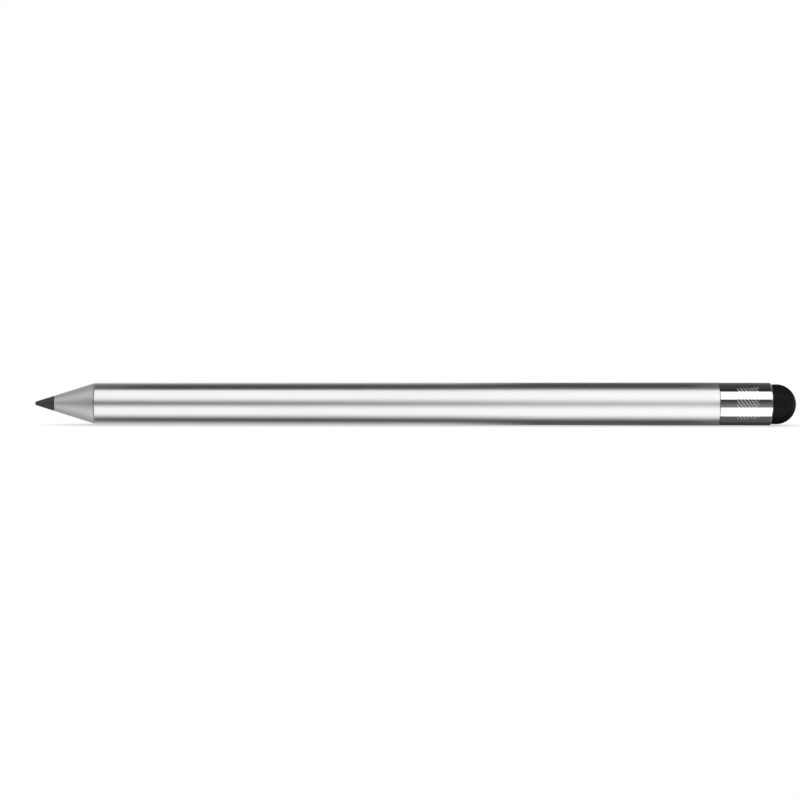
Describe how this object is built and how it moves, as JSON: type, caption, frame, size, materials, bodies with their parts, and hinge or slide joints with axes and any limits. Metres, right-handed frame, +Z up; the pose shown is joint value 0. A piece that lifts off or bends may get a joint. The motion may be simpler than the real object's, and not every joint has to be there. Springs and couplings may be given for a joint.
{
  "type": "stylus pen",
  "caption": "Slim two-ended touch-screen stylus: hard point in a screw-off nose cone, tapered polished barrel, and a soft conductive dome in a screw-off knurled ferrule.",
  "frame": {"origin": "under the middle of the pen's length, on the surface that it lies on", "axes": "+X along the pen from the hard point to the soft dome, +Z up, the pen lying on a facet of its barrel"},
  "size_m": [0.127, 0.0072, 0.0071],
  "materials": {
    "polished_aluminium": "polished, faint lengthwise brushing",
    "satin_silver": "satin silver",
    "chrome": "mirror plated",
    "brass": "turned",
    "dark_acetal": "satin",
    "black_rubber": "matte"
  },
  "bodies": {
    "barrel_body": {"barrel": "polished_aluminium", "front_bush": "brass", "rear_bush": "brass"},
    "nose_ring": {"nose_o_ring": "black_rubber"},
    "nose": {"nose_cone": "satin_silver", "nib_sleeve": "brass"},
    "nib": {"point_nib": "dark_acetal"},
    "tip_ring": {"tip_o_ring": "black_rubber"},
    "tip": {"ferrule": "chrome", "tip_core": "brass"},
    "dome": {"rubber_dome": "black_rubber"}
  },
  "joints": [
    {"name": "nose_travel", "type": "slide", "parent": "barrel_body", "child": "nose_ring", "axis": [-1, 0, 0], "range_m": [0, 0.006]},
    {"name": "nose_turn", "type": "hinge", "parent": "nose_ring", "child": "nose", "pos_m": [-0.0535, 0, 0.00357], "axis": [-1, 0, 0], "range_deg": [0, 2700]},
    {"name": "nib_pull", "type": "slide", "parent": "nose", "child": "nib", "axis": [-1, 0, 0], "range_m": [0, 0.0066]},
    {"name": "tip_travel", "type": "slide", "parent": "barrel_body", "child": "tip_ring", "axis": [1, 0, 0], "range_m": [0, 0.006]},
    {"name": "tip_turn", "type": "hinge", "parent": "tip_ring", "child": "tip", "pos_m": [0.05065, 0, 0.00357], "axis": [1, 0, 0], "range_deg": [0, 2700]},
    {"name": "dome_press", "type": "slide", "parent": "tip", "child": "dome", "axis": [-1, 0, 0], "range_m": [0, 0.001], "stiffness_N_per_m": 800}
  ],
  "couplings": [
    {"joint": "nose_turn", "follows": "nose_travel", "rad_per_m": 7854},
    {"joint": "tip_turn", "follows": "tip_travel", "rad_per_m": 7854}
  ]
}
